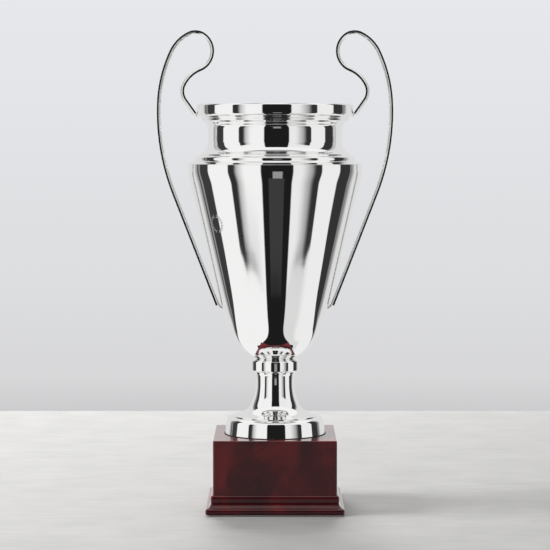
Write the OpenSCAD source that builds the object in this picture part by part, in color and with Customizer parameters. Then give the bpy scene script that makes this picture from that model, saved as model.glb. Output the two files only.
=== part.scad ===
// Two-handled cup trophy on a square lacquered plinth.
// Origin at the centre of the underside, +Z up, +X to the right handle, front face towards -Y.

/* [Cup] */
// Outer radius of the rim band
rim_r = 78; // [76:0.5:80]
// Height of the top of the rim
rim_top = 402.9; // [402:0.1:404]
// Outer radius of the neck
neck_r = 67; // [65:0.5:68]
// Outer radius of the bowl's shoulder
shoulder_r = 87.2; // [86:0.1:88]
// Height of the shoulder edge, where the neck sits on the bowl
shoulder_z = 343.4; // [343:0.1:344]
// Sheet thickness of the spun parts
sheet = 1.2; // [1:0.1:1.4]

/* [Stem and foot] */
// Outer radius of the turned knop ring
knop_r = 24.8; // [24:0.1:26]
// Height of the knop's underside, where it sits on the stem
knop_z = 135.4; // [134.6:0.1:136]
// Height of the bowl's underside, where it sits on the knop
bowl_z = 148.4; // [147.8:0.1:149]
// Radius of the slimmest part of the stem
stem_r = 19.1; // [18:0.1:20]
// Outer radius of the foot drum
foot_r = 50.3; // [49.8:0.1:50.8]
// Height of the foot drum's top, where the stem sits on it
foot_top = 90.8; // [90.4:0.1:91.2]

/* [Handles] */
// Thickness of the half-round bar, in the plane of the handle
bar_t = 4.3; // [4:0.1:4.6]
// Width of the half-round bar, across the plane of the handle
bar_w = 10; // [9:0.5:11]

/* [Plinth] */
// Width of the square block
block_w = 121.6; // [120:0.1:123]
// Height of the top of the block
block_top = 73.3; // [72.8:0.1:73.8]
// Thickness of the block's boards
board = 8; // [7:0.5:9]
// Width of the moulding band under the block
band_w = 125.8; // [125.4:0.1:126.4]
// Height of the top of the moulding band
band_top = 19.6; // [19:0.1:20]
// Width of the bottom plate
plate_w = 136.2; // [136:0.1:138]
// Height of the top of the bottom plate's rounded edge
plate_top = 7.2; // [7:0.1:7.6]
// Thickness of the felt under the plate
felt = 0.8; // [0.6:0.1:1]

/* [Hidden] */
$fn = 96;
silver = [0.83, 0.83, 0.82];
steel = [0.62, 0.62, 0.64];
lacquer = [0.24, 0.06, 0.07];
raw_wood = [0.62, 0.45, 0.3];
felt_green = [0.1, 0.22, 0.16];

// Fasteners: an M6 rod, its nuts and washers, and wood screws
rod_r = 3;
rod_hole_r = 3.3;
rod_foot_z = 52;
nut_across = 10;
nut_h = 5;
washer_r = 9;
washer_t = 1.6;
screw_at = 46;
screw_r = 2;
screw_head_r = 4;
screw_len = 30;
screw_head_h = 2.4;

// Fits and small steps
gasket_t = 0.5;
spigot_gap = 0.05;
spigot_h = 6;
foot_z = block_top + gasket_t;
access_r = 17;
block_side = 12;
block_h = 26;

// ---- plane curves ----
function arc(c, r, a0, a1, n) =
    [for (i = [0:n]) let (a = a0 + (a1 - a0) * i / n) c + r * [cos(a), sin(a)]];

function bezier_at(p, t) =
    pow(1 - t, 3) * p[0] + 3 * t * pow(1 - t, 2) * p[1] + 3 * t * t * (1 - t) * p[2] + t * t * t * p[3];

function bezier(p, n) = [for (i = [0:n]) bezier_at(p, i / n)];

function unit(v) = v / norm(v);

function left_of(v) = [-v[1], v[0]];

// The outline moved sideways by t to its left, with mitred corners
function offset_path(path, t) = [for (i = [0:len(path) - 1]) let (
    a = unit(path[max(i, 1)] - path[max(i, 1) - 1]),
    b = unit(path[min(i + 1, len(path) - 1)] - path[min(i, len(path) - 2)]),
    m = left_of(a + b) / (1 + a * b)
    ) path[i] + t * m];

function reversed(path) = [for (i = [len(path) - 1:-1:0]) path[i]];

// The outline without the points that repeat the one before
function distinct(path) =
    [for (i = [0:len(path) - 1]) if (i == 0 || norm(path[i] - path[max(i, 1) - 1]) > 0.001) path[i]];

// A shell of revolution: the outer outline runs upwards, the sheet lies on its left
module spun(outline) {
    path = distinct(outline);
    rotate_extrude($fn = 180)
        polygon(concat(path, reversed(offset_path(path, sheet))));
}

module ring(r_out, r_in, z0, z1) {
    translate([0, 0, z0])
        difference() {
            cylinder(r = r_out, h = z1 - z0);
            translate([0, 0, -1]) cylinder(r = r_in, h = z1 - z0 + 2);
        }
}

// ---- cup ----
// The neck's sheet carries on inside the band, up to the underside of its top
collar_r = rim_r - 4.2;
rim_low = rim_top - 12.1;
rim_edge = 2;

// Outer face of the rim band: lower roll, upright face, rounded top, hooked inner edge
rim_outline = concat(
    [[collar_r, rim_low]],
    arc([rim_r - 3, rim_low + 3], 3, -90, 0, 6),
    arc([rim_r - rim_edge, rim_top - rim_edge], rim_edge, 0, 90, 5),
    arc([collar_r - 2 * sheet + rim_edge - 0.2, rim_top - rim_edge], rim_edge, 90, 180, 5),
    [[collar_r - 2 * sheet - 0.2, rim_top - 4.5]]);

module rim_band() {
    color(silver) spun(rim_outline);
}

// Mouldings below and above the straight neck, each bead or fillet about 2 mm high. Their heights
// are from the shoulder, and from the top of the rim.
neck_foot = [for (p = concat(
    [[shoulder_r - 0.3, 0]],
    bezier([[shoulder_r - 0.3, 0.3], [84, 1.2], [82, 2.2], [80.4, 3]], 6),
    [[79.9, 4.2]],
    arc([77.9, 5.9], 2, -20, 70, 5),
    [[76.2, 8.4], [75.4, 8.6], [75, 9.8]],
    bezier([[74.6, 10.2], [70.5, 11.6], [68, 15.5], [neck_r, 22]], 12)
    )) p + [0, shoulder_z]];

neck_head = [for (p = concat(
    bezier([[neck_r, -24.7], [67.1, -22.2], [67.7, -20.7], [69, -19.8]], 6),
    [[69.4, -19]],
    bezier([[69.4, -19], [69.8, -17.8], [70.6, -17.2], [72, -16.9]], 5),
    arc([72, -15.6], 1.3, -60, 60, 6),
    [[72.9, -13.8], [collar_r, -13.1], [collar_r, -sheet]]
    )) p + [0, rim_top]];

module neck() {
    color(silver) {
        spun(concat(neck_foot, neck_head));
        ring(shoulder_r - sheet - spigot_gap, shoulder_r - 2 * sheet - spigot_gap,
            shoulder_z - spigot_h, shoulder_z + 0.3);
    }
}

// Bowl: a shallow cone, a round turn, a long straight taper and a round shoulder
taper_low = [59.3, bowl_z + 75.6];
taper_high = [84.1, shoulder_z - 22.2];
bowl_outline = distinct(concat(
    [[rod_hole_r, bowl_z], [20.3, bowl_z]],
    bezier([[20.6, bowl_z + 0.5], [43.7, bowl_z + 14.8], [48, bowl_z + 31.1], taper_low], 24),
    bezier([taper_high, [85.5, shoulder_z - 16.6], [shoulder_r, shoulder_z - 11],
        [shoulder_r, shoulder_z - 5]], 12),
    [[shoulder_r, shoulder_z]]));

module bowl() {
    color(silver) spun(bowl_outline);
}

module knop() {
    recess_r = 16;
    web = 4;
    round_r = 2.4;
    top = bowl_z;
    color(silver)
        rotate_extrude($fn = 180)
            polygon(concat(
                [[rod_hole_r, top - web], [recess_r, top - web], [recess_r, knop_z]],
                [[20.6, knop_z], [21.2, knop_z + 1]],
                arc([knop_r - 1.6, knop_z + 2.6], 1.6, -90, 0, 5),
                arc([knop_r - round_r, top - round_r - 0.3], round_r, 0, 90, 6),
                [[20.8, top - 0.3], [20.8, top], [rod_hole_r, top]]));
}

// Stem: a small step on the foot, a long concave flare, a slim waist and a flared head
flare_top = [22.7, foot_top + 15.6];
waist_z = knop_z - 11.8;
stem_outline = concat(
    [[43, foot_top], [43, foot_top + 1]],
    bezier([[43, foot_top + 1], [27, foot_top + 3.7], [25.5, foot_top + 8.4], flare_top], 16),
    bezier([flare_top, [20.4, flare_top[1] + 5.6], [stem_r, waist_z - 7.6], [stem_r, waist_z]], 8),
    bezier([[stem_r, waist_z], [stem_r, waist_z + 5], [19.6, waist_z + 8], [20.4, knop_z - 1.1]], 8),
    [[20.4, knop_z], [rod_hole_r, knop_z]]);

module stem() {
    color(silver) spun(stem_outline);
}

// Foot: flange turned in below, drum that draws in a little, quarter-round edge and flat top
foot_outline = concat(
    [[38, foot_z], [foot_r, foot_z], [foot_r - 0.5, foot_z + 4.2]],
    arc([foot_r - 6.8, foot_top - 5.4], 5.4, 4, 90, 9),
    [[43, foot_top], [12, foot_top]]);

module foot() {
    color(silver) spun(foot_outline);
}

// Weight disc that closes the foot and centres the rod
module foot_plate() {
    color(raw_wood) ring(47, rod_hole_r, foot_z + sheet, foot_z + sheet + 8);
}

module foot_gasket() {
    color([0.12, 0.05, 0.05]) ring(foot_r + 0.7, 20, block_top, foot_z);
}

// ---- handles ----
// Where the bar starts on the bowl, and its first heading from upright
bar_start = [57.3, shoulder_z - 140.9];
bar_heading = 21.2;
// The run of the bar: [length, 0] is straight, [radius, angle] is an arc, + turns inwards
bar_run = [[119.5, 0], [223.5, 23.5], [133, 23], [37, 38.5], [15, 67],
    [19.5, 117], [31, -42], [15.5, -61], [16.5, 0]];
arc_step = 7.5;

function ahead(h) = [sin(h), cos(h)];
function outward(h) = [cos(h), -sin(h)];

// The stations [u, z, heading] along one piece of the run, without its first one
function piece_stations(p, h, piece) =
    piece[1] == 0
    ? [[p[0] + piece[0] * ahead(h)[0], p[1] + piece[0] * ahead(h)[1], h]]
    : let (
        n = ceil(abs(piece[1]) / arc_step),
        side = sign(piece[1]),
        c = p - side * piece[0] * outward(h)
        ) [for (i = [1:n]) let (
            a = h - piece[1] * i / n,
            q = c + side * piece[0] * outward(a)
            ) [q[0], q[1], a]];

function stations(run, i, list) =
    i == len(run) ? list
    : let (
        last = list[len(list) - 1],
        more = piece_stations([last[0], last[1]], last[2], run[i])
        ) stations(run, i + 1, concat(list, more));

bar_stations = stations(bar_run, 0, [[bar_start[0], bar_start[1], bar_heading]]);
bar_sides = 10;

// Half-round section as [outward, sideways] points; the flat faces outwards
bar_section = [for (k = [0:bar_sides - 1]) let (a = 180 * k / (bar_sides - 1))
    [bar_t / 2 - bar_t * sin(a), bar_w / 2 * cos(a)]];

// One ring of points across the bar
function bar_ring(s) = [for (q = bar_section) let (p = [s[0], s[1]] + q[0] * outward(s[2]))
    [p[0], q[1], p[1]]];

module bar() {
    n = len(bar_stations);
    points = [for (s = bar_stations) each bar_ring(s)];
    start_cap = [for (k = [bar_sides - 1:-1:0]) k];
    end_cap = [for (k = [0:bar_sides - 1]) (n - 1) * bar_sides + k];
    walls = [for (i = [0:n - 2], k = [0:bar_sides - 1]) let (
        a = i * bar_sides + k,
        b = i * bar_sides + (k + 1) % bar_sides
        ) [a, b, b + bar_sides, a + bar_sides]];
    polyhedron(points, concat([start_cap, end_cap], walls), convexity = 6);
}

module left_handle() {
    color(silver) mirror([1, 0, 0]) bar();
}

module right_handle() {
    color(silver) bar();
}

// A wedge across the handle's plane, from its side view
module wedge(points, width) {
    translate([0, width / 2, 0]) rotate([90, 0, 0]) linear_extrude(width) polygon(points);
}

// Solder: one wedge between the bar's upper end and the rim band, one between its lower end
// and the bowl
module solder() {
    last = bar_stations[len(bar_stations) - 1];
    flat = [last[0], last[1]] + bar_t / 2 * outward(last[2]);
    under = flat - 0.6 * bar_t * outward(last[2]);
    root = rim_r - 2;
    upper = [[root, flat[1] - 5], [rim_r + 0.6, flat[1] - 4.5], under, flat, [root, flat[1] + 1]];
    tip_in = bar_start - bar_t / 2 * outward(bar_heading);
    tip_out = bar_start + 0.25 * bar_t * outward(bar_heading);
    low = bar_start[1] - 7.9;
    lower = [tip_in - [4, 0], tip_in, tip_out, [54.6, low + 4], [52.2, low], [48, low]];
    difference() {
        wedge(upper, 7.2);
        translate([0, 0, rim_low]) cylinder(r = rim_r, h = 40, center = true, $fn = 180);
    }
    difference() {
        wedge(lower, 7);
        rotate_extrude($fn = 180)
            polygon(concat([[0, bowl_z]], bowl_outline, [[0, shoulder_z]]));
    }
}

module left_handle_solder() {
    color(silver) mirror([1, 0, 0]) solder();
}

module right_handle_solder() {
    color(silver) solder();
}

// ---- clamping rod ----
bowl_washer_z = bowl_z + sheet;
bowl_nut_z = bowl_washer_z + washer_t;
plinth_washer_z = block_top - board - washer_t;
plinth_nut_z = plinth_washer_z - nut_h;
nut_r = nut_across / sqrt(3);
cap_h = 9;

module tie_rod() {
    color(steel)
        translate([0, 0, rod_foot_z])
            cylinder(r = rod_r, h = bowl_nut_z + cap_h - 2 - rod_foot_z);
}

// Domed cap nut: hexagon below, turned dome above, blind hole for the rod
module bowl_nut() {
    color(silver)
        translate([0, 0, bowl_nut_z])
            difference() {
                union() {
                    cylinder(r = nut_r, h = nut_h, $fn = 6);
                    rotate_extrude()
                        polygon(concat([[0, nut_h - 1], [4.7, nut_h - 1], [4.7, nut_h + 1.6]],
                            arc([0, nut_h + 1.6], 4.7, 15, 90, 6)));
                }
                translate([0, 0, -1]) cylinder(r = rod_r + 0.05, h = cap_h - 1);
            }
}

module bowl_washer() {
    color(steel) ring(washer_r, rod_hole_r, bowl_washer_z, bowl_nut_z);
}

module plinth_nut() {
    color(steel)
        translate([0, 0, plinth_nut_z])
            difference() {
                cylinder(r = nut_r, h = nut_h, $fn = 6);
                translate([0, 0, -1]) cylinder(r = rod_r + 0.05, h = nut_h + 2);
            }
}

module plinth_washer() {
    color(steel) ring(washer_r + 3, rod_hole_r, plinth_washer_z, plinth_washer_z + washer_t);
}

// ---- plinth ----
board_top = block_top - board;
edge_round = 1.2;

module plinth_top() {
    half = block_w / 2;
    color(lacquer)
        difference() {
            intersection() {
                translate([-half, -half, board_top]) cube([block_w, block_w, board]);
                rotate([90, 0, 0])
                    translate([0, 0, -half - 1])
                        linear_extrude(block_w + 2) top_outline(half);
                rotate([90, 0, 90])
                    translate([0, 0, -half - 1])
                        linear_extrude(block_w + 2) top_outline(half);
            }
            translate([0, 0, board_top - 1]) cylinder(r = rod_hole_r, h = board + 2);
        }
}

// Side view of the top board with its upper edges rounded
module top_outline(half) {
    z = block_top - edge_round;
    polygon(concat(
        [[-half, board_top - 1], [half, board_top - 1]],
        arc([half - edge_round, z], edge_round, 0, 90, 4),
        arc([edge_round - half, z], edge_round, 90, 180, 4)));
}

// Side board with mitred ends, on the side that faces -Y before it is turned
module side_board(turn) {
    half = block_w / 2;
    color(lacquer)
        rotate([0, 0, turn])
            translate([0, 0, band_top])
                linear_extrude(board_top - band_top)
                    polygon([[-half, -half], [half, -half], [half - board, board - half],
                        [board - half, board - half]]);
}

module plinth_front() {
    side_board(0);
}

module plinth_right() {
    side_board(90);
}

module plinth_back() {
    side_board(180);
}

module plinth_left() {
    side_board(270);
}

// A square frame piece, solid from the centre to half, minus the access hole
module square_moulding(outline, hole_r) {
    width = 2 * plate_w;
    difference() {
        intersection() {
            rotate([90, 0, 0]) translate([0, 0, -width / 2]) linear_extrude(width) polygon(outline);
            rotate([90, 0, 90]) translate([0, 0, -width / 2]) linear_extrude(width) polygon(outline);
        }
        translate([0, 0, -1]) cylinder(r = hole_r, h = band_top + 2);
        for (x = [-1, 1], y = [-1, 1])
            translate([x * screw_at, y * screw_at, -1])
                cylinder(r = screw_r + 0.1, h = band_top + 2, $fn = 32);
    }
}

function both_sides(right) = concat(right, [for (p = reversed(right)) [-p[0], p[1]]]);

cove_top = plate_top + 5.2;

module plinth_band() {
    half = band_w / 2;
    round_r = 2;
    color(lacquer)
        square_moulding(both_sides(concat(
            [[half - 0.3, cove_top], [half, cove_top + 0.3]],
            arc([half - round_r, band_top - round_r], round_r, 0, 90, 4))), 30);
}

// Bottom plate: a rounded edge and a long cove up to the band
module plinth_base() {
    half = plate_w / 2;
    round_r = 2.2;
    neck_half = band_w / 2 - 0.3;
    color(lacquer)
        difference() {
            square_moulding(both_sides(concat(
                arc([half - round_r, felt + round_r], round_r, -90, 0, 5),
                arc([half - round_r, plate_top - round_r], round_r, 0, 70, 5),
                bezier([[half - 2, plate_top + 0.1], [half - 3.6, plate_top + 0.7],
                    [neck_half + 0.4, plate_top + 2.6], [neck_half, cove_top]], 8))), access_r);
            for (x = [-1, 1], y = [-1, 1])
                translate([x * screw_at, y * screw_at, felt - 1])
                    cylinder(r = screw_head_r + 0.1, h = screw_head_h + 1.2, $fn = 32);
        }
}

// Glue blocks in the corners of the boards, drilled for the screws
module corner_blocks() {
    at = block_w / 2 - board - block_side / 2;
    color(raw_wood)
        for (x = [-1, 1], y = [-1, 1])
            difference() {
                translate([x * at, y * at, band_top + block_h / 2])
                    cube([block_side, block_side, block_h], center = true);
                translate([x * screw_at, y * screw_at, band_top - 1])
                    cylinder(r = screw_r, h = block_h / 2 + 2, $fn = 32);
            }
}

module base_screws() {
    head_z = felt + 0.2;
    color(steel)
        for (x = [-1, 1], y = [-1, 1])
            translate([x * screw_at, y * screw_at, head_z]) {
                cylinder(r = screw_head_r, h = screw_head_h - 1, $fn = 32);
                cylinder(r = screw_r, h = screw_len, $fn = 32);
            }
}

module felt_pad() {
    half = plate_w / 2 - 5;
    color(felt_green)
        difference() {
            translate([-half, -half, 0]) cube([2 * half, 2 * half, felt]);
            translate([0, 0, -1]) cylinder(r = access_r, h = felt + 2);
        }
}

rim_band();
neck();
bowl();
knop();
stem();
foot();
foot_plate();
foot_gasket();
left_handle();
right_handle();
left_handle_solder();
right_handle_solder();
tie_rod();
bowl_nut();
bowl_washer();
plinth_nut();
plinth_washer();
plinth_top();
plinth_front();
plinth_back();
plinth_left();
plinth_right();
plinth_band();
plinth_base();
corner_blocks();
base_screws();
felt_pad();
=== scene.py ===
"""Looks of the two-handled cup trophy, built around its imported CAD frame."""
import math

import bmesh
import bpy
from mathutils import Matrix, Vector


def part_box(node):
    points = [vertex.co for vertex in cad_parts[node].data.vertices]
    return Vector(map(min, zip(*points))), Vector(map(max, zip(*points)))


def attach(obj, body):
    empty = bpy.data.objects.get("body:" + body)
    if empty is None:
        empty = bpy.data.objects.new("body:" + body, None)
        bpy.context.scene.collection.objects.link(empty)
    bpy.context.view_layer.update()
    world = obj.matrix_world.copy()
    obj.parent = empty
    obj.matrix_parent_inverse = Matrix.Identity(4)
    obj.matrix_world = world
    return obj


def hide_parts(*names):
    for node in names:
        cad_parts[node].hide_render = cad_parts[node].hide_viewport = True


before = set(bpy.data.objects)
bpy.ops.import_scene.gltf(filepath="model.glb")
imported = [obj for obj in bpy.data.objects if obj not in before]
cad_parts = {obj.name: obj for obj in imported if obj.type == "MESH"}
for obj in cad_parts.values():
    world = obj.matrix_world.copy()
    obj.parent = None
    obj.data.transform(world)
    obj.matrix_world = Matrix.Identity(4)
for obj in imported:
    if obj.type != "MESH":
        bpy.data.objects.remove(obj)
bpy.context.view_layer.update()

MM = 0.001

# Points of a CAD mesh closer than this, in metres, are one point
WELD = 1e-6
# Coordinates are compared after rounding to this many digits
DIGITS = 6
# How far from the plane y = 0 a point of a turned section may lie
ON_PLANE = 1e-7
# A bend smaller than this counts as straight
STRAIGHT = math.radians(1)


# ---- small geometry helpers ----

def new_object(name, mesh, material):
    """A linked object holding the mesh and one material."""
    mesh.materials.append(material)
    obj = bpy.data.objects.new(name, mesh)
    bpy.context.scene.collection.objects.link(obj)
    return obj


def set_normals(mesh, normals):
    """Smooth shading with the exact normals given for each vertex."""
    mesh.polygons.foreach_set("use_smooth", [True] * len(mesh.polygons))
    mesh.normals_split_custom_set_from_vertices(normals)


def piece(name, mesh, material, slot, *nodes):
    """An object of the trophy that stands for CAD nodes and holds its one material; slot is not used."""
    obj = new_object(name, mesh, material)
    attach(obj, "root")
    if nodes:
        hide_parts(*nodes)
    return obj


# ---- outlines: the sections of the CAD pieces, made smooth ----

# Points on the small arc at a corner, and the most of an edge that such an arc takes
CORNER_POINTS = 6
CORNER_SHARE = 0.4
# A stretch that bends less than this, in radians, stays one line, and none has more parts than this
LEAST_BEND = 0.002
MOST_PARTS = 8
# How far behind y = 0 the plane lies that cuts a square moulding
CUT_BEHIND = 0.1 * MM


def link_ends(links, ends):
    """Notes the two ends of a line as neighbours."""
    links.setdefault(ends[0], set()).add(ends[1])
    links.setdefault(ends[1], set()).add(ends[0])


def section_loop(node):
    """The (radius, height) outline of a turned CAD node, in order round its section."""
    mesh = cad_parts[node].data
    links = {}
    for edge in mesh.edges:
        ends = []
        for index in edge.vertices:
            co = mesh.vertices[index].co
            if abs(co.y) < ON_PLANE and co.x > 0:
                ends.append((round(co.x, DIGITS), round(co.z, DIGITS)))
        if len(ends) == 2 and ends[0] != ends[1]:
            link_ends(links, ends)
    return walk_loop(links)


def cut_loop(node):
    """The (x, z) outline of a CAD node where the plane just behind y = 0 cuts its right half."""
    bm = bmesh.new()
    bm.from_mesh(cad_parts[node].data)
    bmesh.ops.remove_doubles(bm, verts=bm.verts, dist=WELD)
    geometry = bm.verts[:] + bm.edges[:] + bm.faces[:]
    cut = bmesh.ops.bisect_plane(bm, geom=geometry, plane_co=(0, CUT_BEHIND, 0), plane_no=(0, 1, 0))
    links = {}
    for edge in (e for e in cut["geom_cut"] if isinstance(e, bmesh.types.BMEdge)):
        ends = [(round(v.co.x, DIGITS), round(v.co.z, DIGITS)) for v in edge.verts]
        if min(ends[0][0], ends[1][0]) > 0 and ends[0] != ends[1]:
            link_ends(links, ends)
    bm.free()
    return drop_straight(walk_loop(links))


def drop_straight(loop):
    """The loop without the points that lie on a straight line between their neighbours."""
    kept = []
    for before, here, after in zip(loop[-1:] + loop[:-1], loop, loop[1:] + loop[:1]):
        a, b = Vector(here) - Vector(before), Vector(after) - Vector(here)
        if a.angle(b) > STRAIGHT:
            kept.append(here)
    return kept


def walk_loop(links):
    """Joins linked points into one closed loop, bridging gaps to the nearest loose end."""
    start = max(links)
    loop = [start]
    left = set(links) - {start}
    while left:
        here = loop[-1]
        near = [p for p in links[here] if p in left] or list(left)
        step = min(near, key=lambda p: math.dist(p, here))
        loop.append(step)
        left.discard(step)
    area = sum(a[0] * b[1] - b[0] * a[1] for a, b in zip(loop, loop[1:] + loop[:1]))
    return loop if area > 0 else loop[::-1]


def hermite(a, ta, b, tb, length, t):
    """Point and direction at t on the curve from a to b that leaves along ta and arrives along tb."""
    h = ((2 * t ** 3 - 3 * t ** 2 + 1), (t ** 3 - 2 * t ** 2 + t),
         (3 * t ** 2 - 2 * t ** 3), (t ** 3 - t ** 2))
    d = ((6 * t * t - 6 * t), (3 * t * t - 4 * t + 1), (6 * t - 6 * t * t), (3 * t * t - 2 * t))
    point = a * h[0] + ta * length * h[1] + b * h[2] + tb * length * h[3]
    slope = a * d[0] + ta * length * d[1] + b * d[2] + tb * length * d[3]
    return point, slope.normalized()


def smooth_loop(loop, corner_deg=22.0, corner_r=0.25 * MM, step=0.9 * MM, long_edge=6 * MM):
    """Samples the outline as (point, normal): curves between soft points, small arcs at corners."""
    pts = [Vector(p) for p in loop]
    count = len(pts)
    dirs = [(pts[(i + 1) % count] - pts[i]).normalized() for i in range(count)]
    lens = [(pts[(i + 1) % count] - pts[i]).length for i in range(count)]
    hard = [dirs[i - 1].angle(dirs[i]) > math.radians(corner_deg) for i in range(count)]
    samples = []

    def tangent(i):
        """The direction at a soft point; a long edge keeps its own."""
        if lens[i - 1] > long_edge and lens[i - 1] > lens[i]:
            return dirs[i - 1]
        if lens[i] > long_edge:
            return dirs[i]
        return (dirs[i - 1] * lens[i] + dirs[i] * lens[i - 1]).normalized()

    def trim(i):
        """How much of its two edges the arc at a corner takes."""
        return min(corner_r, CORNER_SHARE * min(lens[i], lens[i - 1])) if hard[i] else 0

    def add(point, direction):
        """Notes a point and its normal, to the right of the outline's direction."""
        samples.append((point, Vector((direction.y, -direction.x))))

    for i in range(count):
        j = (i + 1) % count
        if hard[i]:
            start, stop = pts[i] - dirs[i - 1] * trim(i), pts[i] + dirs[i] * trim(i)
            for k in range(CORNER_POINTS):
                t = k / (CORNER_POINTS - 1)
                point = start * (1 - t) ** 2 + pts[i] * 2 * t * (1 - t) + stop * t * t
                add(point, (dirs[i - 1] * (1 - t) + dirs[i] * t).normalized())
        a, b = pts[i] + dirs[i] * trim(i), pts[j] - dirs[i] * trim(j)
        ta = dirs[i] if hard[i] else tangent(i)
        tb = dirs[i] if hard[j] else tangent(j)
        length = (b - a).length
        bend = ta.angle(tb) + ta.angle(dirs[i])
        parts = 1 if bend < LEAST_BEND else max(2, min(MOST_PARTS, round(length / step)))
        for k in range(1 if hard[i] else 0, parts):
            add(*hermite(a, ta, b, tb, length, k / parts))
    return samples


# ---- turned pieces: an outline spun round Z ----

SPIN_STEPS = 192


def spin_mesh(name, samples, steps=SPIN_STEPS):
    """A closed surface of revolution about Z through (point, normal) samples."""
    verts, normals, faces = [], [], []
    for k in range(steps):
        c, s = math.cos(math.tau * k / steps), math.sin(math.tau * k / steps)
        for point, normal in samples:
            verts.append((point.x * c, point.x * s, point.y))
            normals.append((normal.x * c, normal.x * s, normal.y))
    rows = len(samples)
    for k in range(steps):
        for i in range(rows):
            a, b = k * rows + i, k * rows + (i + 1) % rows
            c, d = (k + 1) % steps * rows + (i + 1) % rows, (k + 1) % steps * rows + i
            faces.append((a, d, c, b))
    mesh = bpy.data.meshes.new(name)
    mesh.from_pydata(verts, [], faces)
    set_normals(mesh, normals)
    return mesh


# ---- swept pieces: closed rings of points joined up ----

def tube_faces(ring_count, size):
    """The faces between neighbouring rings of size points each."""
    faces = []
    for i in range(ring_count - 1):
        for k in range(size):
            a, b = i * size + k, i * size + (k + 1) % size
            faces.append((a, b, b + size, a + size))
    return faces


def sweep_frame_mesh(name, rings, normals, caps=()):
    """Joins closed rings of points into a tube; caps are (ring index, direction) pairs."""
    verts = [co for ring in rings for co in ring]
    norms = [n for ring in normals for n in ring]
    size = len(rings[0])
    faces = tube_faces(len(rings), size)
    for index, direction in caps:
        first = len(verts)
        verts += rings[index]
        norms += [direction] * size
        loop = list(range(first, first + size))
        faces.append(tuple(loop if index else reversed(loop)))
    # All faces turn over where one face of the first ring looks against its normal
    probe = faces[size // 3]
    a, b, c = (Vector(verts[index]) for index in probe[:3])
    if (b - a).cross(c - a).dot(Vector(norms[probe[0]])) < 0:
        faces = [face[::-1] for face in faces]
    mesh = bpy.data.meshes.new(name)
    mesh.from_pydata([tuple(v) for v in verts], [], faces)
    set_normals(mesh, [tuple(Vector(n).normalized()) for n in norms])
    return mesh


# ---- handles: the half-round bar swept along its run of lines and arcs ----

# The bar's thickness, the radius of its flat face's edges, and the straight side below each edge
BAR_T = 4.3 * MM
BAR_EDGE = 0.25 * MM
BAR_SIDE = 1.4 * MM
# Where the middle of the bar starts on the bowl, and how far it leans outwards there
BAR_START = Vector((57.3, 202.5)) * MM
BAR_HEADING = math.radians(21.2)
# Each stretch of the bar: length or radius in mm, and the angle in degrees that it turns inwards
BAR_RUN = ((119.5, 0), (223.5, 23.5), (133, 23), (37, 38.5), (15, 67), (19.5, 117),
           (31, -42), (15.5, -61), (16.5, 0))


def ahead(heading):
    """The direction along a bar that leans outwards by the heading."""
    return Vector((math.sin(heading), math.cos(heading)))


def outward(heading):
    """The direction at a right angle to the bar, away from the cup."""
    return Vector((math.cos(heading), -math.sin(heading)))


def bar_stations(turn_step=math.radians(2.0)):
    """(point, heading) along the middle of the bar, finely spaced on its arcs."""
    point, heading = BAR_START.copy(), BAR_HEADING
    stations = [(point, heading)]
    for size, turn in BAR_RUN:
        size, turn = size * MM, math.radians(turn)
        if turn == 0:
            point = point + ahead(heading) * size
            stations.append((point, heading))
            continue
        side = math.copysign(1, turn)
        centre = point - outward(heading) * side * size
        parts = math.ceil(abs(turn) / turn_step)
        for i in range(1, parts + 1):
            now = heading - turn * i / parts
            stations.append((centre + outward(now) * side * size, now))
        point, heading = stations[-1]
    return stations


def bar_section(width, flat_parts=4, edge_parts=5, round_parts=22):
    """(outward, sideways, normal) points round the half-round section, flat side outwards."""
    half, edge = width / 2, BAR_EDGE
    root = BAR_T / 2 - edge - BAR_SIDE
    deep = root + BAR_T / 2
    section = []
    for k in range(flat_parts + 1):
        side = (half - edge) * (2 * k / flat_parts - 1)
        section.append((BAR_T / 2, side, (1, 0)))
    for k in range(1, edge_parts + 1):
        a = math.pi / 2 * k / edge_parts
        section.append((BAR_T / 2 - edge + edge * math.cos(a), half - edge + edge * math.sin(a),
                        (math.cos(a), math.sin(a))))
    for k in range(round_parts + 1):
        a = math.pi * k / round_parts
        section.append((root - deep * math.sin(a), half * math.cos(a),
                        (-math.sin(a) / deep, math.cos(a) / half)))
    for k in range(edge_parts):
        a = math.pi / 2 * (1 - k / edge_parts)
        section.append((BAR_T / 2 - edge + edge * math.cos(a), -(half - edge + edge * math.sin(a)),
                        (math.cos(a), -math.sin(a))))
    return section


def bar_mesh(name, mirror):
    """The whole bar; mirror is 1 for the right handle and -1 for the left one."""
    low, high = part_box("right_handle")
    section = bar_section(high.y - low.y)
    stations = bar_stations()
    rings, normals = [], []
    for point, heading in stations:
        out = outward(heading)
        ring, norm = [], []
        for depth, side, n in section:
            p = point + out * depth
            ring.append(Vector((mirror * p.x, side, p.y)))
            norm.append(Vector((mirror * out.x * n[0], n[1], out.y * n[0])))
        rings.append(ring)
        normals.append(norm)
    start, end = ahead(BAR_HEADING), ahead(stations[-1][1])
    caps = ((0, (-mirror * start.x, 0, -start.y)), (len(stations) - 1, (mirror * end.x, 0, end.y)))
    return sweep_frame_mesh(name, rings, normals, caps)


# ---- square mouldings: a section swept round a square with slightly rounded corners ----

def square_path(sides, corner_steps=5):
    """(corner signs, direction angle) round the square, for the sides listed, from -Y turning left."""
    corners = ((-1, -1), (1, -1), (1, 1), (-1, 1))
    path = []
    for side in sides:
        middle = math.radians(90 * side - 90)
        for k in range(corner_steps):
            path.append((corners[side], middle - math.pi / 4 * (1 - k / (corner_steps - 1))))
        for k in range(corner_steps):
            path.append((corners[(side + 1) % 4], middle + math.pi / 4 * k / (corner_steps - 1)))
    return path


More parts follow.
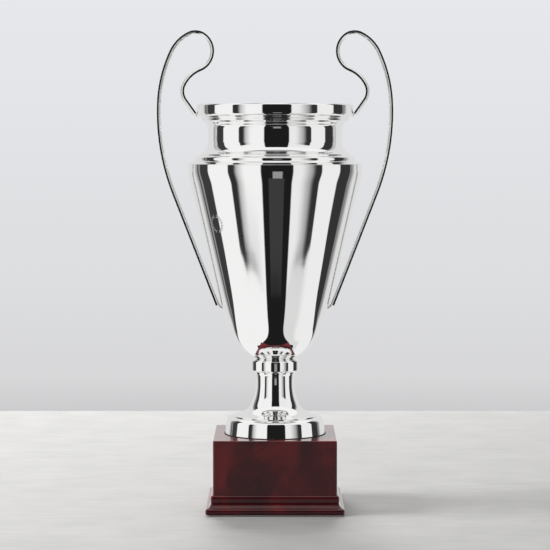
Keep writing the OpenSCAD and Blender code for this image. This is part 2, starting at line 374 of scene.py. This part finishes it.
def square_mesh(name, samples, corner_r, sides=(0, 1, 2, 3)):
    """Sweeps (point, normal) samples round a square; fewer than four sides get mitred ends."""
    rings, normals = [], []
    for (sx, sy), angle in square_path(sides):
        c, s = math.cos(angle), math.sin(angle)
        ring, norm = [], []
        for point, normal in samples:
            flat = point.x - corner_r
            ring.append(Vector((sx * flat + corner_r * c, sy * flat + corner_r * s, point.y)))
            norm.append(Vector((normal.x * c, normal.x * s, normal.y)))
        rings.append(ring)
        normals.append(norm)
    caps = ()
    if len(sides) == 4:
        rings.append(rings[0])
        normals.append(normals[0])
    else:
        first, final = square_path(sides)[0][1], square_path(sides)[-1][1]
        caps = ((0, (math.sin(first), -math.cos(first), 0)),
                (len(rings) - 1, (-math.sin(final), math.cos(final), 0)))
    return sweep_frame_mesh(name, rings, normals, caps)


# ---- small pieces: the CAD mesh with its edges bevelled ----

# Edges sharper than this are bevelled, and shading stays sharp past the second angle
BEVEL_FROM = math.radians(35)
SHARP_FROM = math.radians(40)


def bevelled_mesh(node, width):
    """A copy of a CAD node's mesh with bevelled edges and clean shading."""
    bm = bmesh.new()
    bm.from_mesh(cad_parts[node].data)
    bmesh.ops.remove_doubles(bm, verts=bm.verts, dist=WELD)
    bmesh.ops.dissolve_limit(bm, angle_limit=STRAIGHT, verts=bm.verts, edges=bm.edges)
    edges = [e for e in bm.edges if len(e.link_faces) == 2 and e.calc_face_angle(0) > BEVEL_FROM]
    bmesh.ops.bevel(bm, geom=edges, offset=width, segments=3, profile=0.5, affect="EDGES",
                    clamp_overlap=True)
    mesh = bpy.data.meshes.new(node)
    bm.to_mesh(mesh)
    bm.free()
    mesh.shade_smooth()
    mesh.set_sharp_from_angle(angle=SHARP_FROM)
    return mesh


# ---- soldered joints ----

SOLDER_POINTS = 32
SOLDER_SHARP = math.radians(60)
# The upper joint, in mm: how far it is let into the band, how far its middle there lies below its
# middle on the bar's end, half its height on the band, and half its width at the band and at the bar
BAND_INSET, BAND_DROP, BAND_HALF = 0.3, 1.2, 3.2
BAND_WIDTH, BAR_WIDTH = 4.2, 3.5
# The middle and half height of what it covers on the bar's end, as shares of the bar's thickness
FACE_MIDDLE, FACE_HALF = 0.2, 0.3
# Its rings: the share of the way from band to bar, and the share of the change in shape
UPPER_RINGS = ((0, 0), (0.35, 0.75), (0.7, 0.95), (1, 1))
# The lower joint's rings, in mm: place along the bar, half width, half thickness, place outwards
LOWER_RINGS = ((0.3, 3.6, 1.5, -0.4), (-0.8, 3.4, 1.5, -0.8), (-2.4, 3.0, 1.4, -1.5),
               (-4.2, 2.3, 1.1, -2.4), (-5.8, 1.3, 0.7, -3.3))
# The lower joint's tip, in mm along the bar and outwards
LOWER_TIP = (-6.8, -4.0)


def ring_angles():
    """The angles of the points round a ring of solder."""
    return [math.tau * k / SOLDER_POINTS for k in range(SOLDER_POINTS)]


def loft_mesh(name, rings, tip):
    """A lump through closed rings, ending in a point."""
    size = len(rings[0])
    verts = [tuple(co) for ring in rings for co in ring] + [tuple(tip)]
    faces = [tuple(reversed(range(size)))] + tube_faces(len(rings), size)
    top = (len(rings) - 1) * size
    faces += [(top + k, top + (k + 1) % size, len(verts) - 1) for k in range(size)]
    mesh = bpy.data.meshes.new(name)
    mesh.from_pydata(verts, [], faces)
    bm = bmesh.new()
    bm.from_mesh(mesh)
    bmesh.ops.recalc_face_normals(bm, faces=bm.faces)
    bm.to_mesh(mesh)
    bm.free()
    return mesh


def upper_joint(name, mirror):
    """The lump between the rim band and the bar's upper end."""
    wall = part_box("rim_band")[1].x
    point, heading = bar_stations()[-1]
    out = outward(heading)
    face_mid, face_half = point + out * FACE_MIDDLE * BAR_T, out * FACE_HALF * BAR_T
    wall_mid = Vector((wall - BAND_INSET * MM, face_mid.y - BAND_DROP * MM))
    wall_half = Vector((0, BAND_HALF * MM))
    rings = []
    for t, grow in UPPER_RINGS:
        middle = wall_mid.lerp(face_mid, t)
        half = wall_half.lerp(face_half, grow)
        width = (BAND_WIDTH + (BAR_WIDTH - BAND_WIDTH) * grow) * MM
        rings.append([(mirror * (middle.x + half.x * math.sin(a)), width * math.cos(a),
                       middle.y + half.y * math.sin(a)) for a in ring_angles()])
    return loft_mesh(name, rings, (mirror * face_mid.x, 0, face_mid.y))


def lower_joint(name, mirror):
    """The lump on the bowl under the bar's lower end."""
    run, out = ahead(BAR_HEADING), outward(BAR_HEADING)
    rings = []
    for along, width, thick, aside in LOWER_RINGS:
        ring = []
        for a in ring_angles():
            p = BAR_START + run * along * MM + out * (aside + thick * math.sin(a)) * MM
            ring.append((mirror * p.x, width * MM * math.cos(a), p.y))
        rings.append(ring)
    along, aside = LOWER_TIP
    tip = BAR_START + run * along * MM + out * aside * MM
    return loft_mesh(name, rings, (mirror * tip.x, 0, tip.y))


def solder_mesh(name, mirror):
    """Both soldered joints of one handle as one mesh."""
    joints = upper_joint(name, mirror)
    lower = lower_joint(name + "_lower", mirror)
    bm = bmesh.new()
    bm.from_mesh(joints)
    bm.from_mesh(lower)
    bm.to_mesh(joints)
    bm.free()
    bpy.data.meshes.remove(lower)
    joints.shade_smooth()
    joints.set_sharp_from_angle(angle=SOLDER_SHARP)
    return joints


# ---- the engraved wreath ----

WREATH_AZIMUTH = math.radians(-49.5)
WREATH_HEIGHT = 285.3 * MM
WREATH_R = 7.6 * MM
# How far the underside and the face of each leaf stand off the bowl's wall
WREATH_UNDER, WREATH_FACE = 0.01 * MM, 0.05 * MM
# The bowl's outer wall is where the outline's normal points outwards by at least this
WALL_NORMAL = 0.3
# Leaves in pairs up each arm: the first pair and the step to the next, in degrees round the wreath
LEAF_PAIRS = 8
LEAF_FIRST, LEAF_STEP = -78, 20
# How far a leaf leans to either side of its arm, in radians, and how much it narrows to its tip
LEAF_LEAN = 0.55
LEAF_TAPER = 0.35
LEAF_LENGTH, LEAF_HALF = 3.2 * MM, 0.55 * MM
LEAF_POINTS = 5
# The arm's stem, in short straight lengths: its first point and step in degrees, and half its width
STEM_POINTS = 13
STEM_FIRST, STEM_STEP = -84, 12
STEM_HALF = 0.09 * MM


def leaf_outline(u, v, angle):
    """The points round one leaf, which grows from (u, v) at the angle."""
    points = []
    for side in (1, -1):
        for k in range(LEAF_POINTS):
            t = k / LEAF_POINTS if side == 1 else 1 - k / LEAF_POINTS
            across = side * LEAF_HALF * math.sin(math.pi * t) * (1 - LEAF_TAPER * t)
            points.append((u + LEAF_LENGTH * t * math.cos(angle) - across * math.sin(angle),
                           v + LEAF_LENGTH * t * math.sin(angle) + across * math.cos(angle)))
    return points


def arm_outlines(arm):
    """The flat outlines of one arm's leaves and stem; arm is 1 for the right one and -1 for the left."""
    outlines = []
    for k in range(LEAF_PAIRS):
        a = math.radians(LEAF_FIRST + LEAF_STEP * k)
        u, v = arm * WREATH_R * math.cos(a), WREATH_R * math.sin(a)
        for lean in (LEAF_LEAN, -LEAF_LEAN):
            angle = a + math.pi / 2 + lean
            outlines.append(leaf_outline(u, v, angle if arm == 1 else math.pi - angle))
    inner, outer = WREATH_R - STEM_HALF, WREATH_R + STEM_HALF
    stem = [math.radians(STEM_FIRST + STEM_STEP * k) for k in range(STEM_POINTS)]
    for a, b in zip(stem, stem[1:]):
        outlines.append([(arm * r * math.cos(t), r * math.sin(t))
                         for r, t in ((inner, a), (outer, a), (outer, b), (inner, b))])
    return outlines


def wreath_mesh(name, outline):
    """A small generic laurel wreath: two arms of leaves that lie on the bowl's wall."""
    wall = sorted((p.y, p.x) for p, n in outline if n.x > WALL_NORMAL)

    def on_wall(u, v, lift):
        """The place of the flat point (u, v) at this height off the bowl."""
        z = WREATH_HEIGHT + v
        above = next(i for i, (height, _) in enumerate(wall) if height > z)
        (z0, r0), (z1, r1) = wall[above - 1], wall[above]
        r = r0 + (r1 - r0) * (z - z0) / (z1 - z0) + lift
        a = WREATH_AZIMUTH + u / r
        return (r * math.sin(a), -r * math.cos(a), z)

    bm = bmesh.new()
    for points in arm_outlines(1) + arm_outlines(-1):
        under = [bm.verts.new(on_wall(u, v, WREATH_UNDER)) for u, v in points]
        face = [bm.verts.new(on_wall(u, v, WREATH_FACE)) for u, v in points]
        bm.faces.new(face)
        bm.faces.new(under[::-1])
        for k in range(len(points)):
            n = (k + 1) % len(points)
            bm.faces.new((under[k], under[n], face[n], face[k]))
    bmesh.ops.recalc_face_normals(bm, faces=bm.faces)
    mesh = bpy.data.meshes.new(name)
    bm.to_mesh(mesh)
    bm.free()
    return mesh


# ---- shader nodes ----

def new_material(name, metallic=0.0):
    """A node material, with its node tree and its Principled shader."""
    material = bpy.data.materials.new(name)
    material.use_nodes = True
    shader = material.node_tree.nodes["Principled BSDF"]
    shader.inputs["Metallic"].default_value = metallic
    return material, material.node_tree, shader


def add_node(tree, kind, links=(), **values):
    """Adds a node, sets its inputs by name, and links (source socket, input name) pairs."""
    node = tree.nodes.new(kind)
    for key, value in values.items():
        if key in node.bl_rna.properties:
            setattr(node, key, value)
        else:
            node.inputs[key.replace("_", " ")].default_value = value
    for source, target in links:
        tree.links.new(source, node.inputs[target])
    return node


def object_place(tree, scale=(1, 1, 1)):
    """Object coordinates, which are the trophy's own metres, with a scale for each axis."""
    place = tree.nodes.new("ShaderNodeTexCoord").outputs["Object"]
    mapping = add_node(tree, "ShaderNodeMapping", [(place, "Vector")], Scale=scale)
    return mapping.outputs["Vector"]


def noise(tree, vector, size, detail=3.0, roughness=0.5, distortion=0.0):
    """Noise whose blotches are about size metres across."""
    return add_node(tree, "ShaderNodeTexNoise", [(vector, "Vector")], Scale=1 / size, Detail=detail,
                    Roughness=roughness, Distortion=distortion).outputs["Fac"]


def ramp(tree, source, *stops):
    """A colour ramp through (position, colour) stops."""
    node = add_node(tree, "ShaderNodeValToRGB", [(source, "Fac")])
    elements = node.color_ramp.elements
    while len(elements) < len(stops):
        elements.new(0.5)
    for element, (position, colour) in zip(elements, stops):
        element.position = position
        element.color = (*colour, 1)
    return node.outputs["Color"]


def span(tree, source, low, high, between=(0, 1), kind="LINEAR"):
    """The source's values between the two given ones, spread over low to high and held beyond."""
    return add_node(tree, "ShaderNodeMapRange", [(source, "Value")], interpolation_type=kind,
                    From_Min=between[0], From_Max=between[1], To_Min=low, To_Max=high).outputs[0]


def maths(tree, operation, *sources):
    """A Math node of numbers and sockets."""
    node = add_node(tree, "ShaderNodeMath", operation=operation)
    for index, source in enumerate(sources):
        if isinstance(source, (int, float)):
            node.inputs[index].default_value = source
        else:
            tree.links.new(source, node.inputs[index])
    return node.outputs[0]


def surface(tree, shader, colour, rough):
    """Links a surface's colour and roughness."""
    tree.links.new(colour, shader.inputs["Base Color"])
    tree.links.new(rough, shader.inputs["Roughness"])


def bump(tree, shader, height, strength, distance, after=None):
    """Bumps the shader's normal, on top of an earlier bump if one is given."""
    links = [(height, "Height")] + ([(after, "Normal")] if after else [])
    node = add_node(tree, "ShaderNodeBump", links, Strength=strength, Distance=distance)
    tree.links.new(node.outputs["Normal"], shader.inputs["Normal"])
    return node.outputs["Normal"]


# ---- materials ----

def polished_metal(name, tint, rough, wave, lines):
    """Mirror-polished plate: a trace of haze, a slight waviness and faint spinning rings."""
    material, tree, shader = new_material(name, metallic=1.0)
    place = object_place(tree)
    haze = noise(tree, place, 35 * MM, detail=4)
    cloud = noise(tree, place, 60 * MM, detail=2)
    dull = [c * 0.985 for c in tint]
    tone = ramp(tree, cloud, (0.3, dull), (0.7, tint))
    surface(tree, shader, tone, span(tree, haze, *rough))
    waves = noise(tree, place, 18 * MM, detail=1)
    waves = bump(tree, shader, waves, strength=wave, distance=0.2 * MM)
    rings = noise(tree, object_place(tree, (0.02, 0.02, 1)), 0.9 * MM, detail=2)
    bump(tree, shader, rings, strength=lines, distance=0.02 * MM, after=waves)
    return material


def etched_metal():
    """Fine matt etching, as an engraver leaves it."""
    material, tree, shader = new_material("etched_metal", metallic=1.0)
    grain = noise(tree, object_place(tree), 0.15 * MM, detail=3)
    tone = ramp(tree, grain, (0.3, (0.5, 0.5, 0.51)), (0.7, (0.72, 0.72, 0.72)))
    surface(tree, shader, tone, span(tree, grain, 0.28, 0.5))
    bump(tree, shader, grain, strength=0.4, distance=0.03 * MM)
    return material


def zinc_steel():
    """Zinc-plated fastener steel with a fine spangle."""
    material, tree, shader = new_material("zinc_steel", metallic=1.0)
    place = object_place(tree)
    spangle = noise(tree, place, 1.5 * MM, detail=5)
    tone = ramp(tree, spangle, (0.35, (0.45, 0.46, 0.48)), (0.65, (0.66, 0.66, 0.67)))
    surface(tree, shader, tone, span(tree, spangle, 0.22, 0.42))
    bump(tree, shader, noise(tree, place, 0.4 * MM, detail=3), strength=0.2, distance=0.05 * MM)
    return material


def lacquered_wood():
    """Red-brown wood under thick gloss lacquer: cloudy figure, faint grain, clear coat."""
    material, tree, shader = new_material("lacquered_wood")
    place = object_place(tree, (1, 1, 0.8))
    cloud = noise(tree, place, 34 * MM, detail=3, roughness=0.55, distortion=0.6)
    grain = noise(tree, object_place(tree, (0.12, 0.12, 1)), 1.6 * MM, detail=4, roughness=0.6)
    figure = maths(tree, "ADD", cloud, span(tree, grain, -0.05, 0.05))
    tone = ramp(tree, figure, (0.34, (0.045, 0.004, 0.007)), (0.48, (0.072, 0.005, 0.008)),
                (0.58, (0.11, 0.007, 0.009)), (0.72, (0.16, 0.01, 0.012)))
    surface(tree, shader, tone, span(tree, cloud, 0.42, 0.3))
    shader.inputs["Specular IOR Level"].default_value = 0.1
    shader.inputs["Coat Weight"].default_value = 1.0
    shader.inputs["Coat Roughness"].default_value = 0.04
    shader.inputs["Coat IOR"].default_value = 1.52
    bump(tree, shader, noise(tree, place, 14 * MM, detail=2), strength=0.06, distance=0.2 * MM)
    return material


def raw_wood():
    """Bare pale wood with grain that runs up it."""
    material, tree, shader = new_material("raw_wood")
    place = object_place(tree, (1, 1, 0.08))
    grain = noise(tree, place, 1.2 * MM, detail=5, roughness=0.6, distortion=0.4)
    tone = ramp(tree, grain, (0.3, (0.33, 0.2, 0.1)), (0.7, (0.55, 0.38, 0.21)))
    surface(tree, shader, tone, span(tree, grain, 0.55, 0.8))
    bump(tree, shader, grain, strength=0.4, distance=0.1 * MM)
    return material


def gasket_card():
    """Near-black matt material for the ring under the foot; its darkness draws the thin dark line
    between foot and plinth.
    """
    material, tree, shader = new_material("gasket_card")
    fleck = noise(tree, object_place(tree), 0.8 * MM, detail=4)
    # Near-black tones, which make the thin dark line between foot and plinth
    tone = ramp(tree, fleck, (0.35, (0.012, 0.004, 0.004)), (0.7, (0.035, 0.012, 0.012)))
    surface(tree, shader, tone, span(tree, fleck, 0.4, 0.65))
    bump(tree, shader, fleck, strength=0.3, distance=0.05 * MM)
    return material


def felt():
    """Dark green needled felt with soft fibres."""
    material, tree, shader = new_material("felt")
    fibre = noise(tree, object_place(tree), 0.5 * MM, detail=6, roughness=0.7, distortion=1.5)
    tone = ramp(tree, fibre, (0.3, (0.01, 0.035, 0.022)), (0.7, (0.035, 0.09, 0.06)))
    surface(tree, shader, tone, span(tree, fibre, 0.85, 1.0))
    shader.inputs["Sheen Weight"].default_value = 0.6
    shader.inputs["Sheen Roughness"].default_value = 0.5
    bump(tree, shader, fibre, strength=0.8, distance=0.3 * MM)
    return material


def pale_floor():
    """Plain pale table top with a barely seen mottle and fine streaks across it."""
    material, tree, shader = new_material("pale_floor")
    cloud = noise(tree, object_place(tree), 60 * MM, detail=6, roughness=0.6)
    streaks = noise(tree, object_place(tree, (0.12, 1, 1)), 9 * MM, detail=4, roughness=0.6)
    both = add_node(tree, "ShaderNodeMix", [(cloud, "A"), (streaks, "B")], Factor=0.5).outputs["Result"]
    tree.links.new(ramp(tree, both, (0.3, (0.36, 0.357, 0.35)), (0.7, (0.455, 0.451, 0.443))),
                   shader.inputs["Base Color"])
    shader.inputs["Roughness"].default_value = 0.6
    return material


# ---- the trophy ----

TURNED = ("rim_band", "neck", "bowl", "knop", "stem", "foot")
# The plinth's sides in the order of square_path, and the radius of its four upright corners
BOARDS = ("plinth_front", "plinth_right", "plinth_back", "plinth_left")
PLINTH_CORNER = 1.6 * MM
# Edge radii of the pieces that don't have the usual one
CARD_EDGE = 0.1 * MM
WEIGHT_EDGE = 0.5 * MM
LID_EDGE = 0.03 * MM
BOARD_EDGE = 0.02 * MM
MOULDING_EDGE = 0.1 * MM
# On the mouldings only a bend sharper than this, in degrees, is a corner
MOULDING_BEND = 35


def build_cup(cup, bare):
    """The turned pieces; returns the bowl's smooth outline."""
    outlines = {}
    for node in TURNED:
        outlines[node] = smooth_loop(section_loop(node))
        piece(f"{node}_turned", spin_mesh(node, outlines[node]), cup, "cup_metal", node)
    outline = smooth_loop(section_loop("foot_gasket"), corner_r=CARD_EDGE)
    gasket = spin_mesh("foot_gasket", outline)
    piece("foot_gasket_disc", gasket, gasket_card(), "gasket_card", "foot_gasket")
    outline = smooth_loop(section_loop("foot_plate"), corner_r=WEIGHT_EDGE)
    piece("foot_weight", spin_mesh("foot_plate", outline), bare, "raw_wood", "foot_plate")
    return outlines["bowl"]


def build_handles(bar, tinned):
    """Both handles and their soldered joints."""
    for side, mirror in (("left", -1), ("right", 1)):
        mesh = bar_mesh(f"{side}_bar", mirror)
        piece(f"{side}_handle_bar", mesh, bar, "handle_metal", f"{side}_handle")
        beads = solder_mesh(f"{side}_beads", mirror)
        piece(f"{side}_solder_beads", beads, tinned, "solder", f"{side}_handle_solder")


def build_plinth(lacquer):
    """The lid, the four mitred boards and the two mouldings under them."""
    top = smooth_loop(cut_loop("plinth_top"), corner_r=LID_EDGE)
    lid = square_mesh("plinth_lid", top, PLINTH_CORNER)
    piece("plinth_lid", lid, lacquer, "lacquered_wood", "plinth_top")
    for side, node in enumerate(BOARDS):
        low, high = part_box(node)
        half = max(high.x, high.y)
        inner = half - min(high.x - low.x, high.y - low.y)
        loop = [(half, low.z), (half, high.z), (inner, high.z), (inner, low.z)]
        outline = smooth_loop(loop, corner_r=BOARD_EDGE)
        board = square_mesh(f"{node}_board", outline, PLINTH_CORNER, (side,))
        piece(f"{node}_board", board, lacquer, "lacquered_wood", node)
    for node in ("plinth_band", "plinth_base"):
        outline = smooth_loop(cut_loop(node), corner_deg=MOULDING_BEND, corner_r=MOULDING_EDGE)
        moulding = square_mesh(f"{node}_moulding", outline, PLINTH_CORNER)
        piece(f"{node}_moulding", moulding, lacquer, "lacquered_wood", node)


def build_small(cup, zinc, bare):
    """Nuts, washers, rod, screws, glue blocks and felt, each with its bevel in mm."""
    small = (("bowl_nut", cup, "cup_metal", 0.3), ("bowl_washer", zinc, "zinc_steel", 0.2),
             ("tie_rod", zinc, "zinc_steel", 0.4), ("plinth_nut", zinc, "zinc_steel", 0.3),
             ("plinth_washer", zinc, "zinc_steel", 0.2), ("base_screws", zinc, "zinc_steel", 0.15),
             ("corner_blocks", bare, "raw_wood", 0.4), ("felt_pad", felt(), "felt", 0.15))
    for node, material, slot, width in small:
        piece(f"{node}_piece", bevelled_mesh(node, width * MM), material, slot, node)


def build_trophy():
    """Every piece of the trophy, with its material."""
    cup = polished_metal("cup_metal", (0.95, 0.95, 0.945), rough=(0.015, 0.05), wave=0.05, lines=0.03)
    bar = polished_metal("handle_metal", (0.94, 0.94, 0.935), rough=(0.02, 0.05), wave=0.01, lines=0.005)
    tinned = polished_metal("solder", (0.86, 0.86, 0.85), rough=(0.12, 0.25), wave=0.05, lines=0.03)
    lacquer, zinc, bare = lacquered_wood(), zinc_steel(), raw_wood()
    bowl = build_cup(cup, bare)
    build_handles(bar, tinned)
    build_plinth(lacquer)
    build_small(cup, zinc, bare)
    piece("laurel_wreath", wreath_mesh("laurel_wreath", bowl), etched_metal(), "cup_metal")


# ---- studio ----

EYE_HEIGHT = 364.5 * MM
EYE_DISTANCE = 2130 * MM
EYE_PITCH = math.radians(3.55)
LENS = 139.4
SENSOR_WIDTH = 36


def build_camera():
    """The camera in front of the trophy, looking slightly down."""
    data = bpy.data.cameras.new("camera")
    data.lens = LENS
    data.sensor_width = SENSOR_WIDTH
    camera = bpy.data.objects.new("camera", data)
    camera.location = (0, -EYE_DISTANCE, EYE_HEIGHT)
    camera.rotation_euler = (math.pi / 2 - EYE_PITCH, 0, 0)
    bpy.context.scene.collection.objects.link(camera)
    bpy.context.scene.camera = camera


# The table's far edge behind the trophy, and half its width, in metres
FLOOR_BACK = 0.755
FLOOR_HALF = 2.2


def build_floor():
    """The plain table top, which doesn't show in reflections."""
    mesh = bpy.data.meshes.new("floor")
    corners = ((-FLOOR_HALF, -FLOOR_HALF, 0), (FLOOR_HALF, -FLOOR_HALF, 0),
               (FLOOR_HALF, FLOOR_BACK, 0), (-FLOOR_HALF, FLOOR_BACK, 0))
    mesh.from_pydata(corners, [], [(0, 1, 2, 3)])
    floor = new_object("floor", mesh, pale_floor())
    floor.visible_glossy = False


# What the polished metal mirrors: soft panels and dark gaps round the trophy, laid over each other.
# Each row is its azimuths from the front, turning right, its elevations, how soft its upright and
# its level edges are, all in degrees, and its grey. They are laid out for the view from the front.
PANELS = (
    (-190, 190, 40, 95, 1, 2, 0.95),
    (-190, 190, 63, 95, 1, 2, 0.36),
    (-190, 190, 78, 95, 1, 2, 1.6),
    (-130, -112, -28, 39, 4, 1, 0.35),
    (-124, -98, -28, 39, 1, 1, 0.045),
    (-121, -117, -26, 36, 1, 2, 0.28),
    (108, 126, -28, 39, 6, 1, 0.22),
    (94, 117, -28, 39, 1, 1, 0.035),
    (-64, -19, -34, 40, 1, 1, 0.93),
    (-60, -25, -34, -26.4, 8, 1.2, 0.78),
    (-70, -34, -34, -27.4, 9, 0.3, 0.45),
    (-80, -48, -34, 26, 8, 2, 0.42),
    (-70, -50, -34, -27.3, 5, 0.3, 0.1),
    (-80, -54, -34, 27, 3, 2, 0.03),
    (-99, -64.5, -30, 40, 1, 1, 0.93),
    (19, 66, -34, 40, 1, 1, 0.86),
    (34, 70, -34, -27.3, 9, 0.3, 0.5),
    (44, 80, -34, 26, 11, 2, 0.3),
    (52, 70, -34, -27.2, 5, 0.3, 0.1),
    (53, 80, -34, 27, 4, 2, 0.03),
    (64.5, 95, -30, 40, 1, 1, 0.88),
    (-190, -16, -95, -27.9, 1, 0.15, 0.93),
    (20, 190, -95, -27.8, 1, 0.15, 0.88),
    (10, 60, -95, -27.8, 9, 0.15, 0.72),
    (-18.5, 24, -95, 42, 1, 2, 0.012),
    (-9, 13, -27.2, -18, 1, 1, 0.045),
    (-3, 10, -18, -5.5, 1, 0.8, 0.3),
)
PANEL_BASE = 0.74


# The panels are bent before they are laid out. Each pair holds the angles, in degrees, where a bend
# begins and where it is complete; aside is the azimuth without its sign.
# Steeply below, azimuths shrink by this share, so that the panels fan out to the sides
FAN_ELEVATION = (-42, -66)
FAN_SHARE = 0.85
FAN_POWER = 1.7
# Low down at the sides and behind, the panels' upright edges lie this much farther round
LEAN_ASIDE = (80, 98)
LEAN_ELEVATION = (-21.5, -28)
LEAN = 25
# Low down in front, the panels' level edges dip by this much
DIP_ASIDE = (64, 14)
DIP_ELEVATION = (-10, -20)
DIP = 5.2
# Between front and sides, the panels' level edges rise by this much
RISE_ASIDE = (55, 68)
RISE = 0.9
# Matt surfaces are lit by this share of what the metal mirrors
MATT_SHARE = 0.3
# The backdrop that the camera sees: its lowest and highest elevation, and its tones between them
BACKDROP_ELEVATION = (-7.2, 4)
BACKDROP = ((0, (0.60, 0.60, 0.61)), (0.08, (0.68, 0.68, 0.69)),
            (0.3, (0.72, 0.725, 0.74)), (1, (0.80, 0.808, 0.84)))


def band(tree, angle, low, high, soft):
    """1 where the angle, in degrees, lies between low and high, with soft edges."""
    rise = span(tree, angle, 0, 1, between=(low - soft, low + soft), kind="SMOOTHSTEP")
    fall = span(tree, angle, 1, 0, between=(high - soft, high + soft), kind="SMOOTHSTEP")
    return maths(tree, "MULTIPLY", rise, fall)


def sky_angles(tree):
    """Azimuth from the front, turning right, and elevation of a direction, in degrees."""
    direction = tree.nodes.new("ShaderNodeTexCoord").outputs["Generated"]
    axes = add_node(tree, "ShaderNodeSeparateXYZ", [(direction, "Vector")]).outputs
    forward = maths(tree, "MULTIPLY", axes["Y"], -1)
    azimuth = maths(tree, "DEGREES", maths(tree, "ARCTAN2", axes["X"], forward))
    return azimuth, maths(tree, "DEGREES", maths(tree, "ARCSINE", axes["Z"]))


def bent_angles(tree, azimuth, elevation):
    """The azimuth and elevation by which the panels are laid out."""
    aside = maths(tree, "ABSOLUTE", azimuth)
    steep = span(tree, elevation, 0, 1, between=FAN_ELEVATION)
    narrow = maths(tree, "MULTIPLY_ADD", maths(tree, "POWER", steep, FAN_POWER), -FAN_SHARE, 1)
    behind = span(tree, aside, 0, 1, between=LEAN_ASIDE)
    lean = span(tree, elevation, 0, -LEAN, between=LEAN_ELEVATION)
    lean = maths(tree, "MULTIPLY", maths(tree, "MULTIPLY", behind, lean), maths(tree, "SIGN", azimuth))
    turn = maths(tree, "MULTIPLY_ADD", azimuth, narrow, lean)
    centred = span(tree, aside, 0, 1, between=DIP_ASIDE)
    dip = span(tree, elevation, 0, DIP, between=DIP_ELEVATION)
    rise = span(tree, aside, 0, -RISE, between=RISE_ASIDE, kind="SMOOTHSTEP")
    rise = maths(tree, "MULTIPLY", rise, maths(tree, "SUBTRACT", 1, behind))
    lift = maths(tree, "MULTIPLY_ADD", centred, dip, maths(tree, "ADD", elevation, rise))
    return turn, lift


def panel_grey(tree, turn, lift):
    """The grey of the panels, each laid over those before it."""
    level = None
    for left, right, low, high, soft_side, soft_end, grey in PANELS:
        mask = maths(tree, "MULTIPLY", band(tree, turn, left, right, soft_side),
                     band(tree, lift, low, high, soft_end))
        mix = add_node(tree, "ShaderNodeMix", [(mask, "Factor")], A=PANEL_BASE, B=grey)
        if level:
            tree.links.new(level, mix.inputs["A"])
        level = mix.outputs["Result"]
    return level


def build_world():
    """The panels for reflections and light, and a plain backdrop for the camera."""
    world = bpy.data.worlds.new("studio")
    world.use_nodes = True
    bpy.context.scene.world = world
    tree = world.node_tree
    tree.nodes.clear()
    azimuth, elevation = sky_angles(tree)
    level = panel_grey(tree, *bent_angles(tree, azimuth, elevation))
    path = tree.nodes.new("ShaderNodeLightPath").outputs
    strength = maths(tree, "MULTIPLY_ADD", path["Is Diffuse Ray"], MATT_SHARE - 1, 1)
    studio = add_node(tree, "ShaderNodeBackground", [(level, "Color"), (strength, "Strength")])
    paper = ramp(tree, span(tree, elevation, 0, 1, between=BACKDROP_ELEVATION), *BACKDROP)
    backdrop = add_node(tree, "ShaderNodeBackground", [(paper, "Color")], Strength=1.0)
    mix = add_node(tree, "ShaderNodeMixShader", [(path["Is Camera Ray"], "Fac")])
    tree.links.new(studio.outputs[0], mix.inputs[1])
    tree.links.new(backdrop.outputs[0], mix.inputs[2])
    out = tree.nodes.new("ShaderNodeOutputWorld")
    tree.links.new(mix.outputs[0], out.inputs["Surface"])


# Each soft lamp: name, place and width across in metres, and power in watts
LAMPS = (
    ("back_softbox", (-0.27, 2.6, 1.92), 1.8, 130),
    ("left_softbox", (-1.9, -0.14, 1.22), 1.1, 59),
)


def build_light():
    """Two soft round lamps aimed at the trophy's base, which don't show in reflections."""
    for name, place, size, power in LAMPS:
        data = bpy.data.lights.new(name, "AREA")
        data.shape = "DISK"
        data.size = size
        data.energy = power
        lamp = bpy.data.objects.new(name, data)
        lamp.location = place
        lamp.rotation_euler = (-lamp.location).to_track_quat("-Z", "Y").to_euler()
        lamp.visible_glossy = False
        bpy.context.scene.collection.objects.link(lamp)


build_camera()
build_trophy()
build_floor()
build_world()
build_light()
bpy.context.scene.view_settings.view_transform = "Standard"
